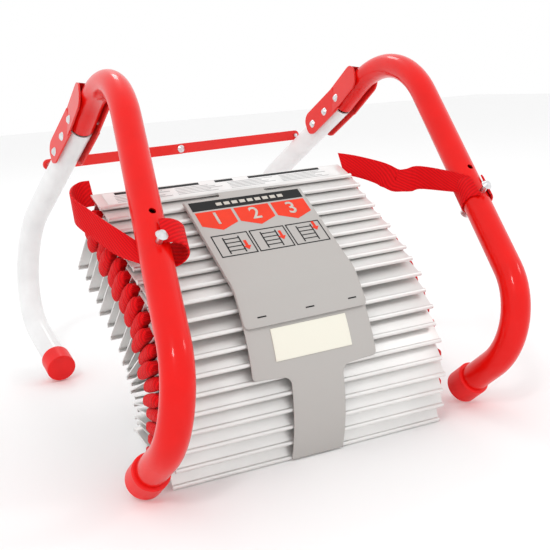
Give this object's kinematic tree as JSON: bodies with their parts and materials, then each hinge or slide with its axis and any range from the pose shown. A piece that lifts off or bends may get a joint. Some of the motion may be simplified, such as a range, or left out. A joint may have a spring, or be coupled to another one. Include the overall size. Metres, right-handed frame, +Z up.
{
  "type": "window escape ladder",
  "caption": "Folded window escape ladder with stacked metal rungs on webbing, two bent window hooks with stand-off legs, a folding brace and a lifting flap.",
  "frame": {"origin": "middle of the ladder's footprint, on the floor it stands on", "axes": "+X along the rungs from the left hook to the right hook, +Y from the rungs' front edges to the stand-off legs, +Z up"},
  "size_m": [0.4848, 0.603, 0.3608],
  "materials": {
    "rung_metal": "satin extruded",
    "label": "printed film",
    "webbing": "woven nylon",
    "red_tube": "gloss powder coat",
    "red_cap": "moulded satin",
    "white_tube": "gloss powder coat",
    "red_sheet": "gloss powder coat",
    "grey_vinyl": "smooth vinyl",
    "loop_pile": "fine loops",
    "steel_fastener": "plated"
  },
  "bodies": {
    "ladder": {"bolt_nut_left": "steel_fastener", "bolt_nut_right": "steel_fastener", "harness_strap_left": "webbing", "harness_strap_right": "webbing", "hook_cap_left": "red_cap", "hook_cap_right": "red_cap", "hook_tube_left": "red_tube", "hook_tube_right": "red_tube", "loop_patch": "loop_pile", "retaining_strap": "grey_vinyl", "rung_01": "rung_metal", "rung_02": "rung_metal", "rung_03": "rung_metal", "rung_04": "rung_metal", "rung_05": "rung_metal", "rung_06": "rung_metal", "rung_07": "rung_metal", "rung_08": "rung_metal", "rung_09": "rung_metal", "rung_10": "rung_metal", "rung_11": "rung_metal", "rung_12": "rung_metal", "rung_13": "rung_metal", "rung_14": "rung_metal", "rung_15": "rung_metal", "rung_16": "rung_metal", "rung_17": "rung_metal", "rung_18": "rung_metal", "rung_19": "rung_metal", "rung_label": "label", "strap_bolt_left": "steel_fastener", "strap_bolt_right": "steel_fastener", "webbing_left": "webbing", "webbing_right": "webbing"},
    "leg_left": {"bracket_left": "red_sheet", "leg_cap_left": "red_cap", "leg_rivets_left": "steel_fastener", "leg_tube_left": "white_tube", "pivot_pin_left": "steel_fastener", "brace_stud_left": "steel_fastener"},
    "leg_right": {"bracket_right": "red_sheet", "leg_cap_right": "red_cap", "leg_rivets_right": "steel_fastener", "leg_tube_right": "white_tube", "pivot_pin_right": "steel_fastener"},
    "brace_left": {"brace_bar_left": "red_sheet", "brace_knuckle_rivet": "steel_fastener"},
    "brace_right": {"brace_bar_right": "red_sheet", "brace_stud_right": "steel_fastener"},
    "flap": {"instruction_flap": "grey_vinyl"}
  },
  "joints": [
    {"name": "leg_left_fold", "type": "hinge", "parent": "ladder", "child": "leg_left", "pos_m": [-0.13763, 0.092, 0.30685], "axis": [0.9791, -0.1202, -0.1638], "range_deg": [-11, 0]},
    {"name": "leg_right_fold", "type": "hinge", "parent": "ladder", "child": "leg_right", "pos_m": [0.22237, 0.092, 0.30685], "axis": [0.9791, -0.1202, -0.1638], "range_deg": [-11, 0]},
    {"name": "brace_left_turn", "type": "hinge", "parent": "leg_left", "child": "brace_left", "pos_m": [-0.15064, 0.20173, 0.25333], "axis": [0, -1, 0], "range_deg": [0, 40]},
    {"name": "brace_knuckle", "type": "hinge", "parent": "brace_left", "child": "brace_right", "pos_m": [0.02909, 0.20173, 0.25578], "axis": [0, -1, 0], "range_deg": [-80, 0]},
    {"name": "flap_lift", "type": "hinge", "parent": "ladder", "child": "flap", "pos_m": [-0.0611, -0.12213, 0.23693], "axis": [-1, 0, 0], "range_deg": [0, 100]}
  ],
  "couplings": [
    {"joint": "leg_right_fold", "follows": "leg_left_fold", "ratio": 1},
    {"joint": "brace_knuckle", "follows": "brace_left_turn", "ratio": -2}
  ]
}
